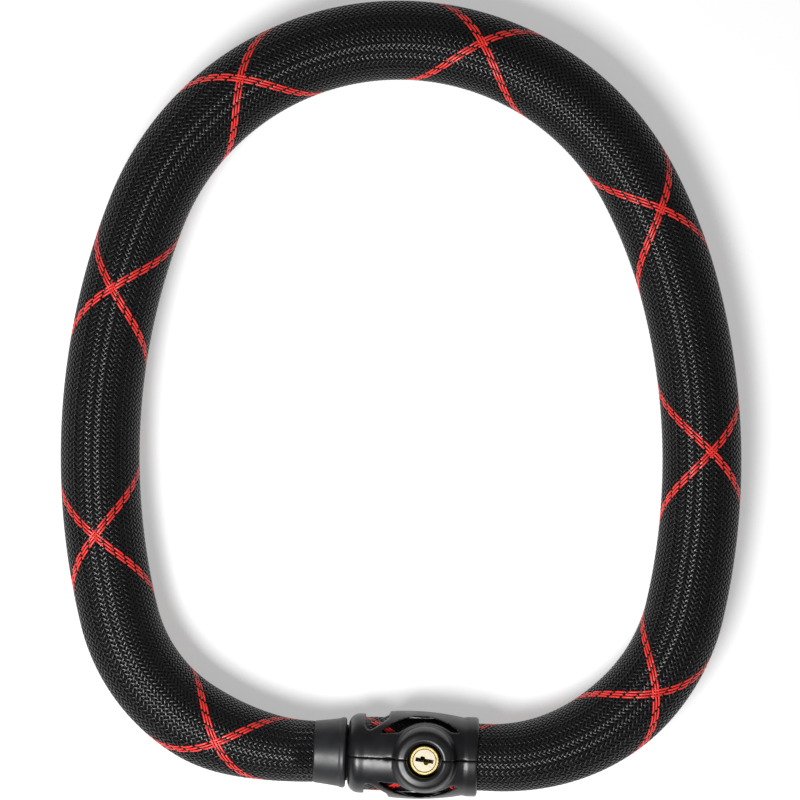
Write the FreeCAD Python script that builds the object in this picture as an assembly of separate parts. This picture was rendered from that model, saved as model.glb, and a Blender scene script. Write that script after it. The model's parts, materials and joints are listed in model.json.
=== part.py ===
"""Security chain lock: a square-link chain in a braided sleeve, closed by a keyed lock body.

The loop lies flat.  The lock's own axis runs along X, the key cylinder looks up along +Z, and the chain
leaves the lock towards +X, runs round the loop anticlockwise and comes back to the lock from -X.
Drawing coordinates have the key cylinder on X = Y = 0; the last step stands the whole object on the
origin, at the bottom centre of its box.  Millimetres and degrees.
"""
import FreeCAD, Part
import math
import os

from FreeCAD import Vector

os.makedirs("parts", exist_ok=True)

# ---- driving dimensions -----------------------------------------------------------------------------

# the sleeve and the height of the loop's centre line
SLEEVE_R = 15.55
SLEEVE_WALL = 0.8
SLEEVE_FIT = 0.1
REST_GAP = 0.05
AXIS_Z = SLEEVE_R + REST_GAP
SEGMENT_GAP = 3.0

# the loop's centre line: a straight out of the lock, seven tangent arcs, a straight into the collar
LOCK_HINGE_X = 13.0
COLLAR_HINGE_X = -44.0
EXIT_STRAIGHT = 13.6
ENTRY_STRAIGHT = 2.0
BEND_TURN = (79.0, 28.4, 12.0, 131.1, 35.2, 57.4, 16.9)
BEND_RADIUS = (75.1, 259.8, 197.7, None, None, 67.0, 104.8)

# chain links of square bar with rounded edges
BAR = 8.0
BAR_ROUND = 2.2
LINK_INNER_LENGTH = 32.7
LINK_INNER_R = 5.25
LINK_COUNT = 25
RIVET_R = 3.5

# necks where the sleeve runs into the lock and into the collar: half widths across and upright
NECK_AT_LOCK = (13.1, 14.85)
NECK_AT_LOCK_LENGTH = 48.0
NECK_AT_LOCK_RISE = 16.0
NECK_AT_COLLAR = (12.0, 12.0)
NECK_AT_COLLAR_LENGTH = 48.0
NECK_UPRIGHT_STEP = 15.35
NECK_UPRIGHT_STEP_LENGTH = 8.0

# lock body
BODY_R = 13.6
BODY_LEFT = -27.3
BODY_RIGHT = 16.5
BODY_CONE_LEFT = 11.5
BODY_CONE_R = 12.2
GROOVE_RIGHT = -20.2
GROOVE_R = 12.5
CHAMFER = 1.6
FORK_INNER = 5.25
FORK_OUTER = 10.25
FORK_HALF_HEIGHT = 4.8
FORK_NOSE = 5.3
MOUTH_R = 6.35
MOUTH_BOTTOM = -7.4

# stud
STUD_R = 6.0
STUD_TIP = -8.4
STUD_CONE = 1.2
STUD_GROOVE = (-14.2, -10.4)
STUD_GROOVE_R = 4.1
FLANGE = (-37.2, -33.0)
FLANGE_R = 10.4

# key cylinder
HOUSING_R = 5.7
PLUG_R = 4.6
RUNNING_GAP = 0.05
FACE_TOP = AXIS_Z + 18.0
HOUSING_BOTTOM = 9.9
PLUG_BOTTOM = 8.9
PLUG_SET_BACK = 0.25
KEYWAY_LENGTH = 7.0
KEYWAY_WIDTH = 1.5
KEYWAY_TILT = -7.0
KEYWAY_BOTTOM = 11.0
WAFER_COUNT = 8
WAFER_THICK = 0.9
WAFER_PITCH = 2.2
WAFER_FIRST = 12.4
WAFER_WIDTH = 3.5
WAFER_WINDOW = (6.2, 1.9)
WAFER_STEP = 0.25
WARD_R = 0.95
WARD_PLACE = (-0.8, 0.75)
FACE_CHAMFER = 0.35
CLIP_Z = (9.15, 9.65)
CLIP_R = (3.95, 5.3)
CLIP_GAP = 0.05

# cam and latch: the scroll slot draws the latch sideways by LATCH_TRAVEL in a quarter turn
LATCH_TRAVEL = 2.0
CAM_R = 6.8
CAM_Z = (6.95, 8.7)
CAM_PIN_R = 0.9
CAM_SLOT_HALF = 1.1
CAM_PIN_START = 3.0
TAIL_SIDE = 3.2
LATCH_X = (-13.8, -10.8)
LATCH_Z = (4.8, 6.6)
BLADE_Y = (6.3, 8.6)
BLADE_TOP = AXIS_Z + 4.2
POCKET_R = 12.9
COVER_TOP = 4.6
COVER_X = (-19.8, 7.1)
LINK_SLOT = 4.95
COVER_HALF_WIDTH = 6.9
CAM_POCKET_GAP = 0.2
LATCH_POCKET_GAP = 0.3
LATCH_FOOT_RIGHT = 1.4
LATCH_FOOT_Y = (-4.2, 2.2)

# cover screws, and the pin that locks the cylinder's housing in the body
SCREW_PLACES = ((-17.4, -3.0), (-17.4, 3.0))
SCREW_R = 1.0
SCREW_HEAD_R = 1.9
SCREW_HEAD = (3.1, 4.0)
SCREW_DRIVE_R = 0.6
SCREW_DRIVE_TOP = 3.8
SCREW_TOP = 8.2
PIN_R = 1.25
PIN_Y = (5.2, 12.2)
PIN_ABOVE_AXIS = 5.0

# jacket and collar
JACKET_LEFT = -29.8
JACKET_RIGHT = 21.0
JACKET_GAP = 0.15
JACKET_MOUTH_R = 8.0
JACKET_RIM = ((-29.8, 11.4), (-28.5, 14.2), (-25.4, 15.5))
JACKET_BULGE = ((-23.4, 15.5), (-12, 16.9), (-4, 17.15), (6, 16.6), (15.4, 15.15))
JACKET_RING = ((16.6, 15.5), (20.3, 15.5), (21.0, 14.9))
PARTING_REACH = 20.0
BOSS_R = 12.8
BOSS_CREST = AXIS_Z + 19.6
RECESS_R = 6.7
BOSS_FOOT = 8.0
BOSS_WALL_TOP = 13.0
BOSS_SHOULDER = (11.6, 17.6)
BOSS_LIP = ((8.3, 19.6), (7.2, 19.35), (6.7, 18.6))
COLLAR_X = (-43.2, -30.6)
COLLAR_R = (12.0, 13.75)
COLLAR_REGISTER = (-29.95, 10.9)

# where the sleeve's lengths begin and end over the lock and the stud, and their clamp rings
LOCK_SLEEVE_LEFT = -25.4
LOCK_SLEEVE_ROUND = 12.0
LOCK_SLEEVE_RIGHT = 23.7
LOCK_CLAMP_X = (-25.2, -21.4)
FIRST_SEGMENT_X = 26.0
LAST_SEGMENT_X = -46.5
STUD_SLEEVE = ((-44.2, 12.0), (-42.4, 11.4), (-35.0, 11.3))
STUD_CLAMP_X = (-39.6, -35.4)
STUD_CLAMP_R = (11.4, 12.1)
LOCK_NECK_START = JACKET_RIGHT - LOCK_HINGE_X

AXIS = Vector(0, 0, AXIS_Z)
ALONG = Vector(1, 0, 0)
ACROSS = Vector(0, 1, 0)
UP = Vector(0, 0, 1)
nodes = {}


# ---- small helpers ----------------------------------------------------------------------------------

def box(x, y, z):
    """A box from three (low, high) pairs."""
    solid = Part.makeBox(x[1] - x[0], y[1] - y[0], z[1] - z[0])
    solid.translate(Vector(x[0], y[0], z[0]))
    return solid


def rod_x(radius, x):
    """A cylinder on the lock's axis."""
    return Part.makeCylinder(radius, x[1] - x[0], Vector(x[0], 0, AXIS_Z), ALONG)


def rod_z(radius, z, x=0.0, y=0.0):
    """An upright cylinder."""
    return Part.makeCylinder(radius, z[1] - z[0], Vector(x, y, z[0]), UP)


def turned(profile):
    """A solid turned round the lock's axis from (x, radius) points, closed along the axis."""
    points = [Vector(x, 0, AXIS_Z + r) for x, r in profile]
    face = Part.Face(Part.makePolygon(points + points[:1]))
    return face.revolve(AXIS, ALONG, 360)


def prism(wire_edges, z):
    """An outline in the XY plane raised between two heights."""
    face = Part.Face(Part.Wire(Part.__sortEdges__(wire_edges)))
    face.translate(Vector(0, 0, z[0]))
    return face.extrude(Vector(0, 0, z[1] - z[0]))


def smooth_step(value, low, high):
    """0 below low, 1 above high, and an even S between them."""
    t = min(1.0, max(0.0, (value - low) / (high - low)))
    return t * t * (3 - 2 * t)


def save(name, shape):
    """Keep a sub-part for the last step."""
    nodes[name] = shape


# ---- the loop's centre line -------------------------------------------------------------------------

def bend_headings():
    """Heading at the start and end of each bend, in radians."""
    heading = 0.0
    out = []
    for turn in BEND_TURN:
        out.append((heading, heading + math.radians(turn)))
        heading += math.radians(turn)
    return out


def step_of(start, end):
    """How far a bend of unit radius carries the line."""
    return math.sin(end) - math.sin(start), math.cos(start) - math.cos(end)


def solved_radii():
    """The bends' radii, with the two open ones set so that the loop ends in the collar."""
    need_x = COLLAR_HINGE_X - ENTRY_STRAIGHT - LOCK_HINGE_X - EXIT_STRAIGHT
    need_y = 0.0
    open_steps = []
    for radius, (start, end) in zip(BEND_RADIUS, bend_headings()):
        dx, dy = step_of(start, end)
        if radius is None:
            open_steps.append((dx, dy))
        else:
            need_x -= radius * dx
            need_y -= radius * dy
    (ax, ay), (bx, by) = open_steps
    det = ax * by - ay * bx
    solved = iter(((need_x * by - need_y * bx) / det, (ax * need_y - ay * need_x) / det))
    return [radius if radius is not None else next(solved) for radius in BEND_RADIUS]


def loop_elements():
    """Runs of the centre line: start distance, x, y, heading, length and radius (None when straight)."""
    x, y, heading, distance = LOCK_HINGE_X, 0.0, 0.0, 0.0
    out = [(distance, x, y, heading, EXIT_STRAIGHT, None)]
    x += EXIT_STRAIGHT
    distance += EXIT_STRAIGHT
    for radius, (start, end) in zip(solved_radii(), bend_headings()):
        length = radius * (end - start)
        out.append((distance, x, y, start, length, radius))
        dx, dy = step_of(start, end)
        x += radius * dx
        y += radius * dy
        heading = end
        distance += length
    out.append((distance, x, y, heading, ENTRY_STRAIGHT, None))
    return out


ELEMENTS = loop_elements()
LOOP_LENGTH = ELEMENTS[-1][0] + ENTRY_STRAIGHT


def centre(distance):
    """Point and heading of the centre line at a distance from the lock's chain pin."""
    element = ELEMENTS[0]
    for candidate in ELEMENTS:
        if candidate[0] <= distance:
            element = candidate
    start, x, y, heading, _, radius = element
    along = distance - start
    if radius is None:
        return Vector(x + along * math.cos(heading), y + along * math.sin(heading), AXIS_Z), heading
    dx, dy = step_of(heading, heading + along / radius)
    return Vector(x + radius * dx, y + radius * dy, AXIS_Z), heading + along / radius


def chord_end(start, chord):
    """The distance at which the centre line is one chord away from where it was at start."""
    origin = centre(start)[0]
    low, high = start + chord, start + 1.2 * chord
    for _ in range(40):
        middle = (low + high) / 2
        if (centre(middle)[0] - origin).Length < chord:
            low = middle
        else:
            high = middle
    return low


def walk(slack):
    """Distances of all link hinges for one end play between links."""
    upright = LINK_INNER_LENGTH + 2 * (LINK_INNER_R - slack)
    flat = LINK_INNER_LENGTH - 2 * LINK_INNER_R
    out = [0.0]
    for i in range(LINK_COUNT):
        out.append(chord_end(out[-1], flat if i % 2 else upright))
    return out


def hinge_distances():
    """Link hinges along the loop, with the end play that makes the chain fill the loop."""
    low, high = 0.5, 2.5
    for _ in range(40):
        slack = (low + high) / 2
        if walk(slack)[-1] > LOOP_LENGTH:
            low = slack
        else:
            high = slack
    return walk(slack), slack


HINGES, END_PLAY = hinge_distances()


# ---- chain ------------------------------------------------------------------------------------------

def stadium(inner_length, radius, height):
    """A flat-sided loop of two half rounds, raised about z = 0."""
    half = inner_length / 2 - LINK_INNER_R
    top = [Vector(-half, radius, 0), Vector(half, radius, 0)]
    bottom = [Vector(half, -radius, 0), Vector(-half, -radius, 0)]
    edges = [
        Part.LineSegment(*top).toShape(),
        Part.Arc(top[1], Vector(half + radius, 0, 0), bottom[0]).toShape(),
        Part.LineSegment(*bottom).toShape(),
        Part.Arc(bottom[1], Vector(-half - radius, 0, 0), top[0]).toShape(),
    ]
    return prism(edges, (-height / 2, height / 2))


def link():
    """One closed link of square bar, lying flat, centred on the origin."""
    outer = stadium(LINK_INNER_LENGTH, LINK_INNER_R + BAR, BAR)
    ring = outer.cut(stadium(LINK_INNER_LENGTH, LINK_INNER_R, BAR))
    rims = [e for e in ring.Edges if e.BoundBox.ZLength < BAR / 2]
    return ring.makeFillet(BAR_ROUND, rims)


def make_chain():
    """All links: even ones stand upright, odd ones lie flat, each between two hinges."""
    flat = link()
    for i in range(LINK_COUNT):
        start = centre(HINGES[i])[0]
        end = centre(HINGES[i + 1])[0]
        heading = math.degrees(math.atan2(end.y - start.y, end.x - start.x))
        piece = flat.copy()
        if i % 2 == 0:
            piece.rotate(Vector(0, 0, 0), ALONG, 90)
        piece.rotate(Vector(0, 0, 0), UP, heading)
        piece.translate((start + end) / 2)
        save(f"chain_link_{i + 1:02d}", piece)


# ---- sleeve -----------------------------------------------------------------------------------------

def half_widths(distance):
    """The sleeve's outer half widths across and upright at a distance along the loop."""
    back = LOOP_LENGTH - distance
    at_lock = smooth_step(distance, LOCK_NECK_START, LOCK_NECK_START + NECK_AT_LOCK_LENGTH)
    across = NECK_AT_LOCK[0] + (SLEEVE_R - NECK_AT_LOCK[0]) * at_lock
    rise = smooth_step(distance, LOCK_NECK_START, LOCK_NECK_START + NECK_AT_LOCK_RISE)
    upright = NECK_AT_LOCK[1] + (SLEEVE_R - NECK_AT_LOCK[1]) * rise
    if distance > LOOP_LENGTH / 2:
        at_collar = smooth_step(back, 0, NECK_AT_COLLAR_LENGTH)
        across = NECK_AT_COLLAR[0] + (SLEEVE_R - NECK_AT_COLLAR[0]) * at_collar
        step = smooth_step(back, -1, NECK_UPRIGHT_STEP_LENGTH)
        upright = NECK_AT_COLLAR[1] + (NECK_UPRIGHT_STEP - NECK_AT_COLLAR[1]) * step
        upright += (SLEEVE_R - NECK_UPRIGHT_STEP) * at_collar
    return across, upright



def oval(point, heading, across, upright):
    """A smooth closed oval square to the heading."""
    side = Vector(-math.sin(heading), math.cos(heading), 0)
    count = 16
    points = []
    for i in range(count):
        angle = 2 * math.pi * i / count
        points.append(point + side * (across * math.cos(angle)) + UP * (upright * math.sin(angle)))
    curve = Part.BSplineCurve()
    curve.interpolate(Points=points, PeriodicFlag=True)
    return Part.Wire(curve.toShape())


def oval_tube(start, end, stations):
    """A tube along the loop whose section follows the necks."""
    skins = []
    for inset in (0.0, SLEEVE_WALL):
        wires = []
        for i in range(stations):
            distance = start + (end - start) * i / (stations - 1)
            point, heading = centre(distance)
            across, upright = half_widths(distance)
            wires.append(oval(point, heading, across - inset, upright - inset))
        skins.append(Part.makeLoft(wires, True, False))
    return skins[0].cut(skins[1])


def round_tube(start, end):
    """A tube of full width along the loop, as true bends."""
    pieces = []
    for first, x, y, heading, length, radius in ELEMENTS:
        low, high = max(start, first), min(end, first + length)
        if high - low < 1e-6:
            continue
        point, now = centre(low)
        direction = Vector(math.cos(now), math.sin(now), 0)
        ring = Part.Face([
            Part.Wire(Part.Circle(point, direction, SLEEVE_R).toShape()),
            Part.Wire(Part.Circle(point, direction, SLEEVE_R - SLEEVE_WALL).toShape()),
        ])
        pivot = point + Vector(-math.sin(now), math.cos(now), 0) * radius
        pieces.append(ring.revolve(pivot, UP, math.degrees((high - low) / radius)))
    tube = pieces[0]
    for piece in pieces[1:]:
        tube = tube.fuse(piece)
    return tube.removeSplitter()


def make_sleeve():
    """One length of sleeve round each upright link, cut in the middle of the flat links."""
    cuts = [FIRST_SEGMENT_X - LOCK_HINGE_X]
    for i in range(1, LINK_COUNT, 2):
        middle = (HINGES[i] + HINGES[i + 1]) / 2
        cuts += [middle - SEGMENT_GAP / 2, middle + SEGMENT_GAP / 2]
    cuts.append(LOOP_LENGTH + LAST_SEGMENT_X - COLLAR_HINGE_X)
    for i in range(len(cuts) // 2):
        start, end = cuts[2 * i], cuts[2 * i + 1]
        in_neck = start < LOCK_NECK_START + NECK_AT_LOCK_LENGTH
        in_neck = in_neck or end > LOOP_LENGTH - NECK_AT_COLLAR_LENGTH
        tube = oval_tube(start, end, 7) if in_neck else round_tube(start, end)
        save(f"sleeve_segment_{i + 1:02d}", tube)


def lock_sleeve_solid(grow):
    """The outside of the sleeve's end over the lock body, made larger or smaller by grow."""
    clamp_r = GROOVE_R + SLEEVE_FIT + SLEEVE_WALL + grow
    body_r = BODY_R + SLEEVE_FIT + SLEEVE_WALL + grow
    solid = turned([
        (LOCK_SLEEVE_LEFT, 0), (LOCK_SLEEVE_LEFT, clamp_r), (GROOVE_RIGHT - 0.7, clamp_r),
        (GROOVE_RIGHT + 0.4, body_r), (LOCK_SLEEVE_ROUND, body_r), (LOCK_SLEEVE_ROUND, 0),
    ])
    # the oval neck starts a little inside the round part, so that their skins cross cleanly
    neck_r = body_r - 0.1
    wires = []
    for x in (LOCK_SLEEVE_ROUND - 2, LOCK_SLEEVE_ROUND, 15.0, 18.0, JACKET_RIGHT, LOCK_SLEEVE_RIGHT):
        t = smooth_step(x, LOCK_SLEEVE_ROUND, JACKET_RIGHT)
        across = neck_r + (NECK_AT_LOCK[0] + grow - neck_r) * t
        upright = neck_r + (NECK_AT_LOCK[1] + grow - neck_r) * t
        wires.append(oval(Vector(x, 0, AXIS_Z), 0.0, across, upright))
    return solid.fuse(Part.makeLoft(wires, True, False)).removeSplitter()


def make_lock_sleeve():
    """The sleeve's end on the lock, with the hole that the key cylinder comes through."""
    tube = lock_sleeve_solid(0.0).cut(lock_sleeve_solid(-SLEEVE_WALL))
    save("sleeve_end_lock", tube.cut(rod_z(RECESS_R, (AXIS_Z + PIN_ABOVE_AXIS, BOSS_CREST))))
    ring = rod_x(GROOVE_R + SLEEVE_FIT + 2 * SLEEVE_WALL, LOCK_CLAMP_X)
    save("sleeve_clamp_lock", ring.cut(rod_x(GROOVE_R + SLEEVE_FIT + SLEEVE_WALL, LOCK_CLAMP_X)))


# ---- lock body --------------------------------------------------------------------------------------

def fork_arms(hinge_x, direction):
    """Two square arms beside the last link, with rounded noses and the hole for the rivet."""
    near = hinge_x + direction * (BODY_RIGHT - LOCK_HINGE_X - 1.0)
    tip = rivet_x(hinge_x, direction) + direction * FORK_NOSE
    low, high = min(near, tip), max(near, tip)
    height = (AXIS_Z - FORK_HALF_HEIGHT, AXIS_Z + FORK_HALF_HEIGHT)
    arms = box((low, high), (-FORK_OUTER, FORK_OUTER), height)
    arms = arms.cut(box((low, high), (-FORK_INNER, FORK_INNER), (0, 2 * AXIS_Z)))
    noses = [e for e in arms.Edges if abs(e.BoundBox.XMin - tip) < 1e-6 and e.BoundBox.XLength < 1e-6
             and e.BoundBox.YLength > 1]
    arms = arms.makeFillet(FORK_HALF_HEIGHT * 0.6, noses)
    return arms.cut(rivet_hole(hinge_x, direction))


def rivet_x(hinge_x, direction):
    """Where the rivet stands: one end play beyond the link's end bar."""
    return hinge_x + direction * (LINK_INNER_R + RIVET_R)


def rivet_hole(hinge_x, direction):
    """The rivet's own cylinder, across the lock."""
    start = Vector(rivet_x(hinge_x, direction), -FORK_OUTER, AXIS_Z)
    return Part.makeCylinder(RIVET_R, 2 * FORK_OUTER, start, ACROSS)


def body_pockets():
    """Everything hollow in the lock body."""
    mouth = rod_x(MOUTH_R, (BODY_LEFT, MOUTH_BOTTOM - STUD_CONE))
    cone = Part.makeCone(MOUTH_R, MOUTH_R - STUD_CONE, STUD_CONE,
                         Vector(MOUTH_BOTTOM - STUD_CONE, 0, AXIS_Z), ALONG)
    cylinder = rod_z(HOUSING_R, (PLUG_BOTTOM, 2 * AXIS_Z))
    inside = rod_x(POCKET_R, (BODY_LEFT, BODY_RIGHT))
    cam = rod_z(CAM_R + CAM_POCKET_GAP, (COVER_TOP, PLUG_BOTTOM)).common(inside)
    foot_y = LATCH_TRAVEL + CAM_PIN_START + 1.6
    gap = LATCH_POCKET_GAP
    foot = box((LATCH_X[0] - gap, 2.2), (-foot_y, foot_y), (COVER_TOP, LATCH_Z[1] + gap))
    blade_y = (BLADE_Y[0] - LATCH_TRAVEL - gap, BLADE_Y[1] + 0.5)
    blade = box((LATCH_X[0] - gap, LATCH_X[1] + gap), blade_y, (COVER_TOP, BLADE_TOP + 0.4))
    blade = blade.common(inside)
    cover = box(COVER_X, (-COVER_HALF_WIDTH, COVER_HALF_WIDTH), (0, COVER_TOP))
    link_slot = box((LOCK_HINGE_X - LINK_SLOT, BODY_RIGHT), (-FORK_INNER, FORK_INNER), (0, 2 * AXIS_Z))
    return [mouth, cone, cylinder, cam, foot.common(inside), blade, cover, link_slot]


def make_body():
    """The lock body, its bottom cover and their screws, the cylinder's pin and the chain's rivet."""
    body = turned([
        (BODY_LEFT, 0), (BODY_LEFT, GROOVE_R - CHAMFER), (BODY_LEFT + CHAMFER, GROOVE_R),
        (GROOVE_RIGHT - 0.6, GROOVE_R), (GROOVE_RIGHT + 0.4, BODY_R), (BODY_CONE_LEFT, BODY_R),
        (BODY_RIGHT, BODY_CONE_R), (BODY_RIGHT, 0),
    ])
    body = body.fuse(fork_arms(LOCK_HINGE_X, 1))
    for pocket in body_pockets():
        body = body.cut(pocket)
    screws = []
    cover = box(COVER_X, (-COVER_HALF_WIDTH, COVER_HALF_WIDTH), (0, COVER_TOP))
    cover = cover.common(rod_x(BODY_R, (BODY_LEFT, BODY_RIGHT)))
    head_height = SCREW_HEAD[1] - SCREW_HEAD[0]
    for x, y in SCREW_PLACES:
        head = Part.makeCone(SCREW_HEAD_R, SCREW_R, head_height, Vector(x, y, SCREW_HEAD[0]), UP)
        screw = head.fuse(rod_z(SCREW_R, (SCREW_DRIVE_TOP, SCREW_TOP), x, y))
        recess = rod_z(SCREW_HEAD_R, (0, SCREW_HEAD[0]), x, y)
        drive = rod_z(SCREW_DRIVE_R, (SCREW_HEAD[0], SCREW_DRIVE_TOP), x, y)
        body = body.cut(rod_z(SCREW_R, (COVER_TOP, SCREW_TOP), x, y))
        cover = cover.cut(screw).cut(recess)
        screws.append(screw.cut(drive))
    pin = Part.makeCylinder(PIN_R, PIN_Y[1] - PIN_Y[0], Vector(0, PIN_Y[0], AXIS_Z + PIN_ABOVE_AXIS), ACROSS)
    save("lock_body", body.cut(pin))
    save("bottom_cover", cover)
    save("cover_screws", Part.makeCompound(screws))
    save("cylinder_pin", pin)
    save("chain_rivet_lock", rivet_hole(LOCK_HINGE_X, 1))
    return pin


# ---- key cylinder, cam and latch --------------------------------------------------------------------

def tilted(shape):
    """Turn a shape drawn with its key slot along X to the key slot's own angle."""
    shape.rotate(Vector(0, 0, 0), UP, KEYWAY_TILT)
    return shape


def keyway():
    """The key slot with a ward bulge on each side."""
    z = (KEYWAY_BOTTOM, FACE_TOP + 1)
    half, width = KEYWAY_LENGTH / 2, KEYWAY_WIDTH / 2
    slot = box((-half, half), (-width, width), z)
    x, y = WARD_PLACE
    slot = slot.fuse(rod_z(WARD_R, z, x, y))
    slot = slot.fuse(rod_z(WARD_R, z, -x, -y))
    return tilted(slot.removeSplitter())


def wafer_height(i):
    """Bottom of wafer i."""
    return WAFER_FIRST + i * WAFER_PITCH


def make_cylinder(pin):
    """Housing, plug, wafers and the clip that keeps the plug in."""
    housing = rod_z(HOUSING_R, (HOUSING_BOTTOM, FACE_TOP))
    rim = [e for e in housing.Edges if e.BoundBox.ZMin > FACE_TOP - 1e-3]
    housing = housing.makeChamfer(FACE_CHAMFER, rim)
    housing = housing.cut(rod_z(PLUG_R + RUNNING_GAP, (0, FACE_TOP + 1)))
    groove_half = WAFER_WIDTH / 2 + 0.15
    grooves = box((-5.2, 5.2), (-groove_half, groove_half), (WAFER_FIRST - 0.6, FACE_TOP - 3))
    housing = housing.cut(tilted(grooves)).cut(pin)
    save("cylinder_housing", housing)

    plug = rod_z(PLUG_R, (PLUG_BOTTOM, FACE_TOP - PLUG_SET_BACK))
    rim = [e for e in plug.Edges if e.BoundBox.ZMin > FACE_TOP - PLUG_SET_BACK - 1e-3]
    plug = plug.makeChamfer(FACE_CHAMFER - RUNNING_GAP, rim)
    groove_z = (CLIP_Z[0] - CLIP_GAP, CLIP_Z[1] + CLIP_GAP)
    clip_groove = rod_z(PLUG_R + 1, groove_z).cut(rod_z(CLIP_R[0] - CLIP_GAP, groove_z))
    side = TAIL_SIDE / 2
    tail = box((-side, side), (-side, side), (CAM_Z[0], PLUG_BOTTOM))
    plug = plug.cut(clip_groove).fuse(tail).removeSplitter()
    plug = plug.cut(keyway())
    wafers = []
    for i in range(WAFER_COUNT):
        z = (wafer_height(i), wafer_height(i) + WAFER_THICK)
        half = WAFER_WIDTH / 2
        slot = box((-PLUG_R - 1, PLUG_R + 1), (-half - 0.05, half + 0.05), (z[0] - 0.05, z[1] + 0.05))
        plug = plug.cut(tilted(slot))
        plate = box((-PLUG_R, PLUG_R), (-half, half), z).common(rod_z(PLUG_R - 0.05, z))
        step = WAFER_STEP * (i % 3 - 1)
        long, wide = WAFER_WINDOW[0] / 2, WAFER_WINDOW[1] / 2
        opening = box((step - long, step + long), (-wide, wide), z)
        wafers.append(tilted(plate.cut(opening)))
    save("plug", plug)
    save("wafers", Part.makeCompound(wafers))

    clip = rod_z(CLIP_R[1], CLIP_Z).cut(rod_z(CLIP_R[0], CLIP_Z))
    save("plug_clip", clip.cut(box((-1.5, 1.5), (-CLIP_R[1] - 1, 0), CLIP_Z)))


def scroll_slot():
    """The cam's slot: its radius grows evenly with angle, by the latch's travel in a quarter turn."""
    growth = LATCH_TRAVEL / (math.pi / 2)
    margin = 0.06
    count = 9
    inner, outer = [], []
    for i in range(count):
        angle = -margin + (math.pi / 2 + 2 * margin) * i / (count - 1)
        radius = CAM_PIN_START + growth * angle
        # the pin stands on -Y, and the cam turns anticlockwise under it, so the slot runs clockwise
        direction = Vector(math.cos(-math.pi / 2 - angle), math.sin(-math.pi / 2 - angle), 0)
        inner.append(direction * (radius - CAM_SLOT_HALF))
        outer.append(direction * (radius + CAM_SLOT_HALF))
    inner_curve = Part.BSplineCurve()
    inner_curve.interpolate(inner)
    outer_curve = Part.BSplineCurve()
    outer_curve.interpolate(outer)
    edges = [
        inner_curve.toShape(), outer_curve.toShape(),
        Part.LineSegment(inner[0], outer[0]).toShape(),
        Part.LineSegment(inner[-1], outer[-1]).toShape(),
    ]
    slot = prism(edges, (0, PLUG_BOTTOM))
    for ends in ((inner[0], outer[0]), (inner[-1], outer[-1])):
        middle = (ends[0] + ends[1]) / 2
        slot = slot.fuse(rod_z(CAM_SLOT_HALF, (0, PLUG_BOTTOM), middle.x, middle.y))
    return slot


def make_latch():
    """The cam on the plug's tail, the latch that it draws sideways and the latch's pin."""
    side = TAIL_SIDE / 2
    cam = rod_z(CAM_R, CAM_Z).cut(box((-side, side), (-side, side), CAM_Z))
    save("cam_disc", cam.cut(scroll_slot()))

    foot = box((LATCH_X[0], LATCH_FOOT_RIGHT), LATCH_FOOT_Y, LATCH_Z)
    bar = box(LATCH_X, (LATCH_FOOT_Y[0], BLADE_Y[1]), LATCH_Z)
    blade = box(LATCH_X, BLADE_Y, (LATCH_Z[0], BLADE_TOP))
    latch = foot.fuse(bar).fuse(blade).removeSplitter()
    latch = latch.common(rod_x(POCKET_R - 0.4, (BODY_LEFT, BODY_RIGHT)))
    pin = rod_z(CAM_PIN_R, (LATCH_Z[0], CAM_Z[1] - 0.1), 0, -CAM_PIN_START)
    save("latch", latch.cut(pin))
    save("latch_pin", pin)


# ---- stud, collar and the sleeve's other end --------------------------------------------------------

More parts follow.
